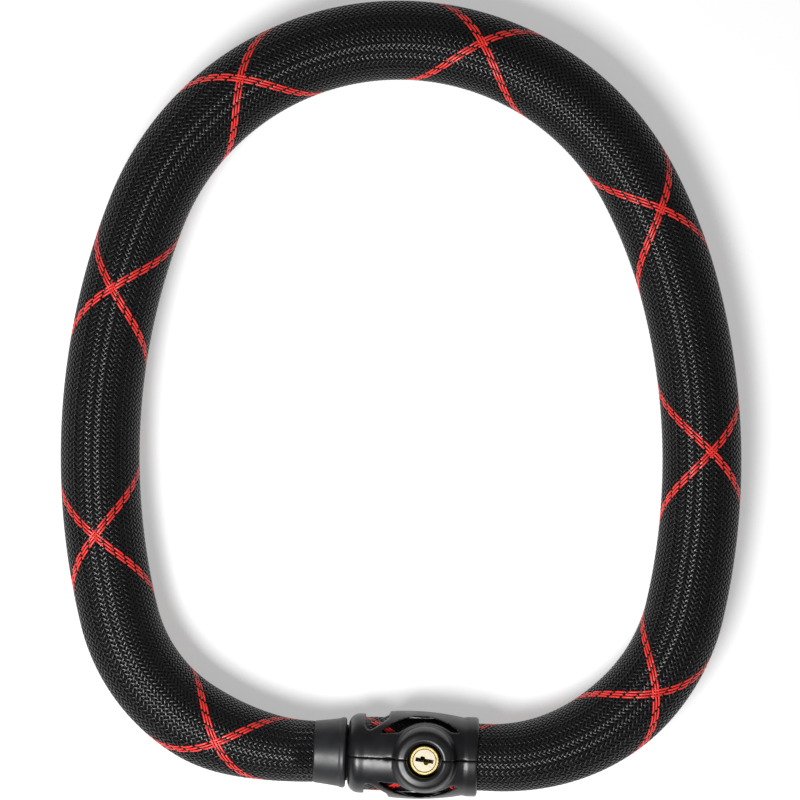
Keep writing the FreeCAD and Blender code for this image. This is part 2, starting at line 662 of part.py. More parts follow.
def make_stud():
    """The stud with its flange and fork, its rivet, the clamp ring, the sleeve's end and the collar."""
    shank = turned([
        (FLANGE[1] - 0.5, 0), (FLANGE[1] - 0.5, STUD_R), (STUD_GROOVE[0] - 0.4, STUD_R),
        (STUD_GROOVE[0], STUD_GROOVE_R), (STUD_GROOVE[1], STUD_GROOVE_R), (STUD_GROOVE[1] + 0.4, STUD_R),
        (STUD_TIP - STUD_CONE, STUD_R), (STUD_TIP, STUD_R - STUD_CONE), (STUD_TIP, 0),
    ])
    flange = rod_x(FLANGE_R, FLANGE)
    arms = fork_arms(COLLAR_HINGE_X, -1)
    height = (AXIS_Z - FORK_HALF_HEIGHT, AXIS_Z + FORK_HALF_HEIGHT)
    bridge = box((COLLAR_HINGE_X + LINK_SLOT, FLANGE[0] + 1), (-FORK_OUTER, FORK_OUTER), height)
    cheeks_x = (COLLAR_HINGE_X - 3.0, COLLAR_HINGE_X + LINK_SLOT)
    cheeks = box(cheeks_x, (-FORK_OUTER, FORK_OUTER), height)
    cheeks = cheeks.cut(box(cheeks_x, (-FORK_INNER, FORK_INNER), (0, 2 * AXIS_Z)))
    within = rod_x(FLANGE_R, (COLLAR_HINGE_X - LINK_INNER_LENGTH, FLANGE[1]))
    fork = arms.fuse(cheeks).fuse(bridge).common(within)
    save("stud", shank.fuse(flange).fuse(fork).removeSplitter())
    save("chain_rivet_stud", rivet_hole(COLLAR_HINGE_X, -1).common(within))

    left, right = STUD_SLEEVE[0][0], STUD_SLEEVE[-1][0]
    inner = [(x, r - SLEEVE_WALL) for x, r in STUD_SLEEVE]
    sleeve = turned([(left, 0), *STUD_SLEEVE, (right, 0)])
    save("sleeve_end_stud", sleeve.cut(turned([(left, 0), *inner, (right, 0)])))
    clamp = rod_x(STUD_CLAMP_R[1], STUD_CLAMP_X).cut(rod_x(STUD_CLAMP_R[0], STUD_CLAMP_X))
    save("sleeve_clamp_stud", clamp)

    left, right = COLLAR_X
    face, register_r = COLLAR_REGISTER
    collar = turned([
        (left, 0), (left, COLLAR_R[0] - 0.6), (left + 0.5, COLLAR_R[0]), (right - 1.4, COLLAR_R[1]),
        (right - 0.7, COLLAR_R[1]), (right, COLLAR_R[1] - 0.7), (right, register_r), (face, register_r),
        (face, 0),
    ])
    # the bore holds the sleeve, the clamp ring, the flange and the stud, each in its own step
    sleeve_r, clamp_r = STUD_SLEEVE[-1][1] + 0.15, STUD_CLAMP_R[1] + 0.1
    clamp_left, clamp_right = STUD_CLAMP_X[0] - 0.2, STUD_CLAMP_X[1] + 0.2
    flange_left, flange_right = clamp_right + 0.4, FLANGE[1] + 0.1
    bore = turned([
        (left, 0), (left, sleeve_r + 0.3), (left + 1.2, sleeve_r), (clamp_left, sleeve_r),
        (clamp_left, clamp_r), (clamp_right, clamp_r), (clamp_right, sleeve_r), (flange_left, sleeve_r),
        (flange_left, FLANGE_R + 0.1), (flange_right, FLANGE_R + 0.1), (flange_right, STUD_R + 0.1),
        (face, STUD_R + 0.1), (face, 0),
    ])
    save("collar", collar.cut(bore))


# ---- jacket -----------------------------------------------------------------------------------------

def jacket_blank():
    """The jacket's outside, turned: rounded rim, bulge over the lock and the ring at the chain's side."""
    def at(x, r):
        return Vector(x, 0, AXIS_Z + r)

    rim = [at(*point) for point in JACKET_RIM]
    crown = [at(*point) for point in JACKET_BULGE]
    ring = [at(*point) for point in JACKET_RING]
    bulge = Part.BSplineCurve()
    bulge.interpolate(crown)
    corners = [crown[-1], *ring, at(JACKET_RIGHT, 0), at(JACKET_LEFT, 0), rim[0]]
    edges = [Part.LineSegment(a, b).toShape() for a, b in zip(corners, corners[1:])]
    edges += [Part.Arc(*rim).toShape(), Part.LineSegment(rim[-1], crown[0]).toShape(), bulge.toShape()]
    face = Part.Face(Part.Wire(Part.__sortEdges__(edges)))
    return face.revolve(AXIS, ALONG, 360)


def boss():
    """The dome round the key cylinder."""
    def at(r, z):
        return Vector(r, 0, AXIS_Z + z)

    lip = [at(*point) for point in BOSS_LIP]
    wall_top = at(BOSS_R, BOSS_WALL_TOP)
    corners = [lip[-1], at(0, BOSS_LIP[-1][1]), at(0, BOSS_FOOT), at(BOSS_R, BOSS_FOOT), wall_top]
    edges = [Part.LineSegment(a, b).toShape() for a, b in zip(corners, corners[1:])]
    edges += [Part.Arc(wall_top, at(*BOSS_SHOULDER), lip[0]).toShape(), Part.Arc(*lip).toShape()]
    return Part.Face(Part.Wire(edges)).revolve(Vector(0, 0, 0), UP, 360)


def window(side):
    """The crescent opening between the side strap and the panel, on the +Y (1) or -Y (-1) side."""
    def at(x, y):
        return Vector(x, side * y, 0)

    edges = [
        Part.Arc(at(-18.0, 9.3), at(-1.6, 15.6), at(13.8, 10.2)).toShape(),
        Part.LineSegment(at(13.8, 10.2), at(10.2, 10.6)).toShape(),
        Part.Arc(at(10.2, 10.6), at(0.2, 13.7), at(-10.2, 10.0)).toShape(),
        Part.LineSegment(at(-10.2, 10.0), at(-18.0, 9.3)).toShape(),
    ]
    return edges


def notch(side):
    """The open corner between the rim and the strap's foot."""
    corners = [(-23.2, 19), (-23.2, 11.6), (-22.3, 10.5), (-21.0, 10.5), (-14.2, 14.6), (-12.6, 19)]
    points = [Vector(x, side * y, 0) for x, y in corners]
    return [Part.LineSegment(a, b).toShape() for a, b in zip(points, points[1:] + points[:1])]


def make_jacket():
    """The jacket in two halves that meet along the lock, through the key cylinder."""
    jacket = jacket_blank().fuse(boss())
    jacket = jacket.cut(lock_sleeve_solid(JACKET_GAP))
    jacket = jacket.cut(rod_x(GROOVE_R + 2 * (SLEEVE_WALL + JACKET_GAP), (-26.4, GROOVE_RIGHT - 0.4)))
    jacket = jacket.cut(rod_x(GROOVE_R + JACKET_GAP, (BODY_LEFT, -25)))
    jacket = jacket.cut(rod_x(JACKET_MOUTH_R, (JACKET_LEFT - 1, BODY_LEFT + 1)))
    jacket = jacket.cut(rod_z(RECESS_R, (AXIS_Z + PIN_ABOVE_AXIS, BOSS_CREST + 1)))
    for side in (1, -1):
        above = prism(window(side), (AXIS_Z + 0.5, 2 * AXIS_Z + 8))
        below = prism(window(side), (-1, AXIS_Z - 0.5))
        jacket = jacket.cut(above).cut(below)
        jacket = jacket.cut(prism(notch(side), (-1, 2 * AXIS_Z + 8)))
    for name, y in (("jacket_upper", (0, PARTING_REACH)), ("jacket_lower", (-PARTING_REACH, 0))):
        half = jacket.common(box((JACKET_LEFT - 1, JACKET_RIGHT + 1), y, (0, BOSS_CREST + 1)))
        save(name, half)


# ---- assembly ---------------------------------------------------------------------------------------

make_chain()
make_sleeve()
make_lock_sleeve()
make_cylinder(make_body())
make_latch()
make_stud()
make_jacket()

whole = Part.makeCompound(list(nodes.values())).optimalBoundingBox(False, False)
shift = Vector(-whole.Center.x, -whole.Center.y, -whole.ZMin)
for name, shape in nodes.items():
    shape.translate(shift)
    shape.exportStep(f"parts/{name}.step")
print("end play", round(END_PLAY, 3), "loop", round(LOOP_LENGTH, 2), "shift", shift)
print("box", whole.XLength, whole.YLength, whole.ZLength, "nodes", len(nodes))
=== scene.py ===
import json
import math

import bpy
import numpy as np
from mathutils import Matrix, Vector

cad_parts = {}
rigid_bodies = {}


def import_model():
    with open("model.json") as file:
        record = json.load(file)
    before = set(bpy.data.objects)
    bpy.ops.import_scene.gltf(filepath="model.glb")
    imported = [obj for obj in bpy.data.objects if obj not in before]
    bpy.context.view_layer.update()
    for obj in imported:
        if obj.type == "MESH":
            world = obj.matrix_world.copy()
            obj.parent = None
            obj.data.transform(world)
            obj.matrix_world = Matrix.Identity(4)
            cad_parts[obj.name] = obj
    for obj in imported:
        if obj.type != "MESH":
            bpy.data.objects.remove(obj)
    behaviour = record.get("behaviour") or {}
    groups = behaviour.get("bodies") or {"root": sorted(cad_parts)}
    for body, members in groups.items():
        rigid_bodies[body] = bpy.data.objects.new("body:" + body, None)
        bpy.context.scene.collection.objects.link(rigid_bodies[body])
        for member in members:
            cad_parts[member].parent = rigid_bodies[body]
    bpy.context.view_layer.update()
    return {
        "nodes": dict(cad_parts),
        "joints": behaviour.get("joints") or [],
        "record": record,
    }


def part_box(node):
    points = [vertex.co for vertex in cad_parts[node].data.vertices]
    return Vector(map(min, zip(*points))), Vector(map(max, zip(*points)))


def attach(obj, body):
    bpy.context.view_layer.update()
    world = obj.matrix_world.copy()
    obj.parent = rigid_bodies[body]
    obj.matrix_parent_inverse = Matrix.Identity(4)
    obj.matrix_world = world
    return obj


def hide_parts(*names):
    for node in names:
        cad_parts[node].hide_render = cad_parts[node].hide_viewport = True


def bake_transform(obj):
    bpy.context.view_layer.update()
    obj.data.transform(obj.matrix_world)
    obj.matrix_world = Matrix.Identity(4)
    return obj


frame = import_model()

# The looks of a security chain lock: a black braid with red tracers over the chain, a moulded jacket over
# the lock body and a collar on the stud.  Metres; X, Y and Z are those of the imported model.

# ---- places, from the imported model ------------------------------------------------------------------

MM = 0.001
HOUSING_LOW, HOUSING_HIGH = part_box("cylinder_housing")
RIVET_LOW, RIVET_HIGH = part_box("chain_rivet_lock")
LOCK_X = (HOUSING_LOW.x + HOUSING_HIGH.x) / 2
LOCK_Y = (HOUSING_LOW.y + HOUSING_HIGH.y) / 2
AXIS_Z = (RIVET_LOW.z + RIVET_HIGH.z) / 2

# ---- the loop's centre line, as the CAD part lays it ------------------------------------------------

LOCK_HINGE_X = 13.0 * MM
COLLAR_HINGE_X = -44.0 * MM
EXIT_STRAIGHT = 13.6 * MM
ENTRY_STRAIGHT = 2.0 * MM
BEND_TURN = (79.0, 28.4, 12.0, 131.1, 35.2, 57.4, 16.9)
BEND_RADIUS = (75.1 * MM, 259.8 * MM, 197.7 * MM, None, None, 67.0 * MM, 104.8 * MM)

# ---- sleeve -----------------------------------------------------------------------------------------

SLEEVE_R = 15.5 * MM
OVER_LOCK_R = 14.4 * MM
OVER_CLAMP_R = 14.3 * MM
CLAMP_STEP = (-34.5 * MM, -32.5 * MM)
JACKET_NARROWS = -1.0 * MM
JACKET_EXIT = 8.0 * MM
NECK_AT_LOCK = (13.1 * MM, 14.8 * MM)
NECK_AT_LOCK_LENGTH = 68.0 * MM
NECK_AT_LOCK_RISE = 16.0 * MM
NECK_AT_COLLAR = 12.0 * MM
NECK_AT_COLLAR_LENGTH = 48.0 * MM
UPRIGHT_STEP = 15.35 * MM
UPRIGHT_STEP_START = -1.0 * MM
UPRIGHT_STEP_LENGTH = 8.0 * MM
IN_COLLAR_R = 11.4 * MM
COLLAR_ENTRY = -1.6 * MM
SLEEVE_START = -38.0 * MM
SLEEVE_END_PAST_HINGE = 3.5 * MM
CYLINDER_HOLE_R = 7.3 * MM

# spans before and after each hinge, the first past the jacket, the last before the collar;
# the centre line's points at their ends are worked out, but nothing is bent with them
HINGE_BLEND = (-8.0 * MM, 8.0 * MM)
LOCK_BLEND = (JACKET_EXIT + 1.0 * MM, JACKET_EXIT + 14.0 * MM)
STUD_BLEND = (-13.0 * MM, -1.2 * MM)
HINGE_SEARCH_STEP = 0.1 * MM

# ---- braid ------------------------------------------------------------------------------------------

# strands are counted in slots round the sleeve, and each direction's tracer stands about slot 0
STRANDS = 48
TRACER_LEAD = 95.95 * MM
TRACER_FRONT = 83.6 * MM
TRACER_TURN = math.radians(99)
TRACER_SLOTS = (-0.75, 0.0, 0.75)
FIRST_BLACK_SLOT = 2
BLACK_PULL = 0.15
BLACK_PULL_SPREAD = 1.2
TRACER_REACH = (1.0, 1.6)
BLACK_HALF_WIDTH = 0.52 * MM
RED_HALF_WIDTH = 0.4 * MM
STRAND_HALF_THICK = 0.24 * MM
WAVE = 0.21 * MM
CROWN = WAVE + STRAND_HALF_THICK
PLAIN_STEEPNESS = 1.6
TRACER_STEEPNESS = 2.2
TRACER_BIAS = 0.6
SAMPLES_PER_CROSSING = 2
STRAND_OUTLINE = np.radians((180.0, 125.0, 55.0, 0.0, -90.0))
LINER_SIDES = 48
LINER_GAP = 0.02 * MM

# ---- jacket and collar ------------------------------------------------------------------------------

JACKET_VOXEL = 0.36 * MM
JACKET_SMOOTHING = 5

# the dome round the key cylinder: radii, and heights above the chain's axis
FOOT_INNER = (10.8 * MM, 12.2 * MM)
FOOT_OUTER = (14.0 * MM, 16.5 * MM)
FOOT_HEIGHT = (8.0 * MM, 11.0 * MM)
FOOT_SMOOTHING = 30
FOOT_LEVELS = 10
SHOULDER_INNER = (8.4 * MM, 10.8 * MM)
SHOULDER_OUTER = (11.2 * MM, 12.8 * MM)
SHOULDER_HEIGHT = (15.5 * MM, 17.0 * MM)
SHOULDER_RISE = 0.45 * MM

# the collar's outline in millimetres, as places along the lock's axis and radii
SMALL_END_ROUND = ((-42.5, 11.4), 0.7)
WIDE_END_ROUND = ((-31.7, 12.65), 1.1)
COLLAR_FLARE = [(-38.0, 12.62), (-33.6, 13.22), (-33.2, 13.3), (-33.0, 13.42), (-32.7, 13.55)]
COLLAR_REGISTER = [(-30.6, 10.9), (-29.95, 10.9), (-29.95, 6.2), (-33.0, 6.2)]
COLLAR_BORE = [(-34.6, 10.6), (-35.0, 12.2), (-39.8, 12.2), (-40.2, 11.5), (-42.0, 11.5), (-43.2, 11.75)]
RING_SIDES = 144

# ---- materials and studio ---------------------------------------------------------------------------

# most of a noise texture's values lie in this span
NOISE_SPAN = (0.3, 0.7)
FILAMENT_SCALE = 1.6
FILAMENT_WANDER = 0.6
BLACKENED = ("lock_body", "sleeve_clamp_lock", "sleeve_clamp_stud")
WHITE = (1.0, 1.0, 1.0)
FLOOR_HALF = 3.0
FLOOR_GREY = 0.65
FLOOR_GLOW = 0.42
WORLD_STRENGTH = 0.13
KEY_PLACE = (-0.36, -0.50, 1.02)
KEY_SIZE = (0.5, 0.4)
KEY_POWER = 17.0
SENSOR_WIDTH = 36.0
LENS = 133.5
CAMERA_HEIGHT = 1.1644
CAMERA_SHIFT = (-1.2 * MM, -0.3 * MM)
CAMERA_ROLL = math.radians(2.0)


def smooth_step(value, low, high):
    """0 below low, 1 above high, and an even S between them."""
    t = np.clip((value - low) / (high - low), 0.0, 1.0)
    return t * t * (3 - 2 * t)


def mix(a, b, t):
    """From a to b as t goes from 0 to 1."""
    return a + (b - a) * t


def bend_headings():
    """Heading at the start and end of each bend, in radians."""
    ends = np.cumsum(np.radians(BEND_TURN))
    return list(zip(ends - np.radians(BEND_TURN), ends))


def step_of(start, end):
    """How far a bend of unit radius carries the line."""
    return math.sin(end) - math.sin(start), math.cos(start) - math.cos(end)


def solved_radii():
    """The bends' radii, with the two open ones set so that the loop ends in the collar."""
    need = np.array([COLLAR_HINGE_X - ENTRY_STRAIGHT - LOCK_HINGE_X - EXIT_STRAIGHT, 0.0])
    open_steps = []
    for radius, (start, end) in zip(BEND_RADIUS, bend_headings()):
        if radius is None:
            open_steps.append(step_of(start, end))
        else:
            need -= radius * np.array(step_of(start, end))
    solved = iter(np.linalg.solve(np.array(open_steps).T, need))
    return [next(solved) if radius is None else radius for radius in BEND_RADIUS]


def loop_elements():
    """Runs of the centre line: start distance, x, y, heading and radius (None when straight)."""
    x, y, distance = LOCK_HINGE_X, 0.0, 0.0
    out = [(distance, x, y, 0.0, None)]
    x += EXIT_STRAIGHT
    distance += EXIT_STRAIGHT
    for radius, (start, end) in zip(solved_radii(), bend_headings()):
        out.append((distance, x, y, start, radius))
        dx, dy = step_of(start, end)
        x += radius * dx
        y += radius * dy
        distance += radius * (end - start)
    out.append((distance, x, y, end, None))
    return out, distance + ENTRY_STRAIGHT


ELEMENTS, LOOP_LENGTH = loop_elements()


def centre_line(distance):
    """Points and headings of the centre line at distances from the lock's chain hinge."""
    points = np.zeros((len(distance), 3))
    headings = np.zeros(len(distance))
    for start, x, y, heading, radius in ELEMENTS:
        # the first run also reaches back, into the lock
        on = (distance >= start) | (start == 0.0)
        along = distance[on] - start
        if radius is None:
            turned = np.full(len(along), heading)
            points[on, 0] = x + along * math.cos(heading)
            points[on, 1] = y + along * math.sin(heading)
        else:
            turned = heading + along / radius
            points[on, 0] = x + radius * (np.sin(turned) - math.sin(heading))
            points[on, 1] = y + radius * (math.cos(heading) - np.cos(turned))
        headings[on] = turned
    return points + np.array([LOCK_X, LOCK_Y, AXIS_Z]), headings


def half_widths(distance):
    """The braid's outer half widths, across and upright."""
    in_jacket = smooth_step(distance, JACKET_NARROWS, JACKET_EXIT)
    widening = smooth_step(distance, JACKET_EXIT, JACKET_EXIT + NECK_AT_LOCK_LENGTH)
    rising = smooth_step(distance, JACKET_EXIT, JACKET_EXIT + NECK_AT_LOCK_RISE)
    over_body = mix(OVER_CLAMP_R, OVER_LOCK_R, smooth_step(distance, *CLAMP_STEP))
    across = mix(over_body, NECK_AT_LOCK[0], in_jacket) + (SLEEVE_R - NECK_AT_LOCK[0]) * widening
    upright = mix(over_body, NECK_AT_LOCK[1], in_jacket) + (SLEEVE_R - NECK_AT_LOCK[1]) * rising
    left = LOOP_LENGTH - distance
    narrowing = smooth_step(left, 0.0, NECK_AT_COLLAR_LENGTH)
    end_r = mix(IN_COLLAR_R, NECK_AT_COLLAR, smooth_step(left, COLLAR_ENTRY, 0.0))
    lift = smooth_step(left, UPRIGHT_STEP_START, UPRIGHT_STEP_LENGTH)
    at_collar = mix(mix(end_r, UPRIGHT_STEP, lift), SLEEVE_R, narrowing)
    second_half = distance > LOOP_LENGTH / 2
    across = np.where(second_half, mix(end_r, SLEEVE_R, narrowing), across)
    upright = np.where(second_half, at_collar, upright)
    return across, upright


# ---- mesh helpers -----------------------------------------------------------------------------------

def mesh_object(name, points, faces, materials, indices=None, uv=None):
    """A smooth-shaded mesh object from arrays of points and of quads."""
    mesh = bpy.data.meshes.new(name)
    mesh.vertices.add(len(points))
    mesh.vertices.foreach_set("co", np.asarray(points, np.float32).ravel())
    mesh.loops.add(faces.size)
    mesh.loops.foreach_set("vertex_index", faces.astype(np.int32).ravel())
    mesh.polygons.add(len(faces))
    mesh.polygons.foreach_set("loop_start", np.arange(0, faces.size, 4, dtype=np.int32))
    for material in materials:
        mesh.materials.append(material)
    if indices is not None:
        mesh.polygons.foreach_set("material_index", indices.astype(np.int32))
    if uv is not None:
        layer = mesh.uv_layers.new(name="weave")
        layer.data.foreach_set("uv", uv[faces.ravel()].astype(np.float32).ravel())
    mesh.update(calc_edges=True)
    mesh.validate()
    mesh.polygons.foreach_set("use_smooth", np.ones(len(mesh.polygons), bool))
    obj = bpy.data.objects.new(name, mesh)
    bpy.context.scene.collection.objects.link(obj)
    return obj


def tube_faces(rows, columns, ring=False):
    """Quads of a tube of points, row by row, its last row joined to its first in a ring."""
    row = np.arange(rows if ring else rows - 1)[:, None]
    column = np.arange(columns)[None, :]
    start, after = row * columns, (row + 1) % rows * columns
    beside = (column + 1) % columns
    quads = [start + column, start + beside, after + beside, after + column]
    return np.stack(quads, axis=-1).reshape(-1, 4)


# ---- strands and sleeve -----------------------------------------------------------------------------

def strand_slots():
    """The slots of one direction's strands, and which are red: three thin tracers, then the black ones.

    The black strands beside the tracer are drawn in a little towards it.
    """
    black = np.arange(FIRST_BLACK_SLOT, STRANDS - 1, dtype=float)
    signed = np.where(black > STRANDS / 2, black - STRANDS, black)
    pull = BLACK_PULL * np.exp(-(np.abs(signed) - FIRST_BLACK_SLOT) / BLACK_PULL_SPREAD)
    signed = signed - np.sign(signed) * pull
    slots = np.concatenate([np.array(TRACER_SLOTS), signed])
    red = np.arange(len(slots)) < len(TRACER_SLOTS)
    return slots, red


def surface_point(distance, turn, outset):
    """Points round the sleeve and their normals; turn 0 faces into the loop, a quarter turn faces up."""
    points, heading = centre_line(distance)
    across, upright = half_widths(distance)
    side = np.stack([-np.sin(heading), np.cos(heading), np.zeros(len(heading))], axis=-1)
    up = np.array([0.0, 0.0, 1.0])
    c, s = np.cos(turn)[..., None], np.sin(turn)[..., None]
    side = side[:, None, :]
    out = points[:, None, :] + side * c * (across[:, None, None] + outset[..., None])
    out = out + up * s * (upright[:, None, None] + outset[..., None])
    normal = side * c + up * s
    return out, normal


def tracer_share(slot):
    """1 at the slots of the red strands, 0 away from them."""
    near = np.abs((slot + STRANDS / 2) % STRANDS - STRANDS / 2)
    return 1 - smooth_step(near, *TRACER_REACH)


def weave_height(column, slot, crossed):
    """Height of a strand of the first direction over the weave's middle, as it crosses the second's.

    Black strands go over two and under two; red ones go over three and under one.
    """
    red = tracer_share(slot) - tracer_share(crossed)
    plain = PLAIN_STEEPNESS * np.cos(math.pi / 2 * (column - 0.5))
    long = TRACER_STEEPNESS * (np.cos(math.pi / 2 * (column - 1.0)) + np.sign(red) * TRACER_BIAS)
    return WAVE * np.clip(mix(plain, long, np.abs(red)), -1.0, 1.0)


def strands(distance, direction):
    """Points of one direction's strands, by sample, strand and outline point, and which are red."""
    slots, red = strand_slots()
    u = 2 * STRANDS * (distance - TRACER_FRONT) / TRACER_LEAD
    turn = TRACER_TURN + 2 * math.pi / STRANDS * (slots[None, :] + direction * u[:, None] / 2)
    column = 2 * slots[None, :] + direction * u[:, None]
    own, other = np.broadcast_to(slots[None, :], column.shape), column - slots[None, :]
    first, second = (own, other) if direction > 0 else (other, own)
    height = direction * weave_height(column, first, second)
    middle, normal = surface_point(distance, turn, height - CROWN)
    tangent = np.gradient(middle, axis=0)
    tangent /= np.linalg.norm(tangent, axis=-1, keepdims=True)
    normal = normal - tangent * np.sum(normal * tangent, axis=-1, keepdims=True)
    normal /= np.linalg.norm(normal, axis=-1, keepdims=True)
    sideways = np.cross(normal, tangent)
    half = np.where(red, RED_HALF_WIDTH, BLACK_HALF_WIDTH)[None, :, None, None]
    out = middle[:, :, None, :] + sideways[:, :, None, :] * half * np.cos(STRAND_OUTLINE)[None, None, :, None]
    out = out + normal[:, :, None, :] * STRAND_HALF_THICK * np.sin(STRAND_OUTLINE)[None, None, :, None]
    return out, red


def braid_mesh(name, distance, materials):
    """One length of sleeve: strands both ways over a plain liner."""
    # one extra sample each side keeps the tangents alike where two lengths meet
    step = distance[1] - distance[0]
    padded = np.concatenate([[distance[0] - step], distance, [distance[-1] + step]])
    points, faces, indices, uvs = [], [], [], []
    base = 0
    rows, sides = len(distance), len(STRAND_OUTLINE)
    for direction in (1, -1):
        tubes, red = strands(padded, direction)
        tubes = tubes[1:-1]
        for strand in range(tubes.shape[1]):
            points.append(tubes[:, strand].reshape(-1, 3))
            faces.append(tube_faces(rows, sides) + base)
            indices.append(np.full((rows - 1) * sides, 1 if red[strand] else 0))
            across = np.tile(np.arange(sides) / sides, rows)
            along = np.repeat(distance / MM, sides)
            uvs.append(np.stack([across, along], axis=-1))
            base += rows * sides
    turn = np.tile(np.linspace(0, 2 * math.pi, LINER_SIDES, endpoint=False), (rows, 1))
    liner, _ = surface_point(distance, turn, np.full(turn.shape, -2 * CROWN - LINER_GAP))
    points.append(liner.reshape(-1, 3))
    faces.append(tube_faces(rows, LINER_SIDES) + base)
    indices.append(np.full((rows - 1) * LINER_SIDES, 2))
    uvs.append(np.zeros((rows * LINER_SIDES, 2)))
    points, faces, indices = np.concatenate(points), np.concatenate(faces), np.concatenate(indices)
    # the key cylinder comes up through a hole in the braid
    reach = np.hypot(points[:, 0] - LOCK_X, points[:, 1] - LOCK_Y)
    gone = (reach < CYLINDER_HOLE_R) & (points[:, 2] > AXIS_Z)
    kept = ~gone[faces].any(axis=1)
    return mesh_object(name, points, faces[kept], materials, indices[kept], np.concatenate(uvs))


def chain_hinges():
    """The chain's hinges, lock first: the body on each side, and the distance along the loop."""
    fine = np.arange(0.0, LOOP_LENGTH + MM, HINGE_SEARCH_STEP)
    line, _ = centre_line(fine)
    out = []
    for joint in frame["joints"]:
        if joint["name"].startswith("chain_hinge"):
            place = np.array(joint["pos_m"])
            nearest = np.argmin(np.linalg.norm(line - place, axis=1))
            out.append((joint["parent"], joint["child"], fine[nearest]))
    return out


def make_sleeve(materials):
    """The braid, in lengths that each lie over one hinge of the chain and meet in the middle of a link; the
    lengths are not tied to the chain's bodies.
    """
    hinges = chain_hinges()
    places = [at for _, _, at in hinges]
    cuts = [SLEEVE_START]
    cuts += [(at + following) / 2 for at, following in zip(places, places[1:])]
    cuts.append(LOOP_LENGTH + SLEEVE_END_PAST_HINGE)
    step = TRACER_LEAD / (2 * STRANDS) / SAMPLES_PER_CROSSING
    for i, (parent, child, at) in enumerate(hinges):
        first = round((cuts[i] - SLEEVE_START) / step)
        last = round((cuts[i + 1] - SLEEVE_START) / step)
        distance = SLEEVE_START + np.arange(first, last + 1) * step
        piece = braid_mesh(f"braid_{i + 1:02d}", distance, materials)
        low, high = HINGE_BLEND
        if parent == "lock":
            low, high = LOCK_BLEND
        if child == "stud":
            low, high = STUD_BLEND
        ends, _ = centre_line(np.array([at + low, at + high]))
        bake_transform(piece)
        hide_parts(f"sleeve_segment_{i // 2 + 1:02d}")
        if parent == "lock":
            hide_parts("sleeve_end_lock")
        if child == "stud":
            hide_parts("sleeve_end_stud")


# ---- materials --------------------------------------------------------------------------------------

def material(name, color, roughness, metallic=0.0, **sockets):
    """A new Principled material; more of its sockets by name."""
    made = bpy.data.materials.new(name)
    made.use_nodes = True
    shader = made.node_tree.nodes["Principled BSDF"]
    shader.inputs["Base Color"].default_value = (*color, 1.0)
    shader.inputs["Roughness"].default_value = roughness
    shader.inputs["Metallic"].default_value = metallic
    for socket, value in sockets.items():
        shader.inputs[socket.replace("_", " ")].default_value = value
    return made


def noise_on(made, scale, detail):
    """The factor of a noise texture in a material; its scale is in waves per metre."""
    tree = made.node_tree
    place = tree.nodes.new("ShaderNodeTexCoord")
    noise = tree.nodes.new("ShaderNodeTexNoise")
    noise.inputs["Scale"].default_value = scale
    noise.inputs["Detail"].default_value = detail
    tree.links.new(place.outputs["Object"], noise.inputs["Vector"])
    return noise.outputs["Fac"]


def color_by(made, factor, dark, light, span=NOISE_SPAN):
    """Colour a material from dark to light as a factor goes through a span."""
    tree = made.node_tree
    ramp = tree.nodes.new("ShaderNodeValToRGB")
    for element, at, color in zip(ramp.color_ramp.elements, span, (dark, light)):
        element.position = at
        element.color = (*color, 1.0)
    tree.links.new(factor, ramp.inputs["Fac"])
    tree.links.new(ramp.outputs["Color"], tree.nodes["Principled BSDF"].inputs["Base Color"])


def roughness_by(made, factor, low, high):
    """Vary a material's roughness with a factor, between two values."""
    tree = made.node_tree
    spread = tree.nodes.new("ShaderNodeMapRange")
    spread.inputs["From Min"].default_value = NOISE_SPAN[0]
    spread.inputs["From Max"].default_value = NOISE_SPAN[1]
    spread.inputs["To Min"].default_value = low
    spread.inputs["To Max"].default_value = high
    tree.links.new(factor, spread.inputs["Value"])
    tree.links.new(spread.outputs["Result"], tree.nodes["Principled BSDF"].inputs["Roughness"])


def bump_by(made, factor, depth, strength):
    """Raise a surface by a factor, to a depth in metres, over any bump it has."""
    tree = made.node_tree
    bump = tree.nodes.new("ShaderNodeBump")
    bump.inputs["Strength"].default_value = strength
    bump.inputs["Distance"].default_value = depth
    tree.links.new(factor, bump.inputs["Height"])
    last = tree.nodes["Principled BSDF"].inputs["Normal"]
    if last.is_linked:
        tree.links.new(last.links[0].from_socket, bump.inputs["Normal"])
    tree.links.new(bump.outputs["Normal"], last)


def filament_lines(made):
    """Fine filaments along a strand, from the strand's own coordinates."""
    tree = made.node_tree
    place = tree.nodes.new("ShaderNodeUVMap")
    place.uv_map = "weave"
    wave = tree.nodes.new("ShaderNodeTexWave")
    wave.wave_type = "BANDS"
    wave.bands_direction = "X"
    wave.inputs["Scale"].default_value = FILAMENT_SCALE
    wave.inputs["Distortion"].default_value = FILAMENT_WANDER
    tree.links.new(place.outputs["UV"], wave.inputs["Vector"])
    return wave.outputs["Fac"]


def make_braid_black():
    """Glossy black polyester filament, a little greyer here and there."""
    made = material("braid_black", (0.008, 0.008, 0.009), 0.28, Specular_IOR_Level=0.32)
    patches = noise_on(made, scale=900, detail=4.0)
    color_by(made, patches, dark=(0.005, 0.005, 0.0055), light=(0.012, 0.012, 0.0135))
    roughness_by(made, noise_on(made, scale=300, detail=3.0), low=0.2, high=0.38)
    bump_by(made, filament_lines(made), depth=0.03 * MM, strength=0.5)
    return made


def make_braid_red():
    """Bright red tracer filament."""
    made = material("braid_red", (0.8, 0.035, 0.03), 0.32, Specular_IOR_Level=0.45)
    patches = noise_on(made, scale=700, detail=3.0)
    color_by(made, patches, dark=(0.68, 0.026, 0.022), light=(0.92, 0.05, 0.04))
    roughness_by(made, noise_on(made, scale=300, detail=3.0), low=0.28, high=0.44)
    bump_by(made, filament_lines(made), depth=0.03 * MM, strength=0.5)
    return made


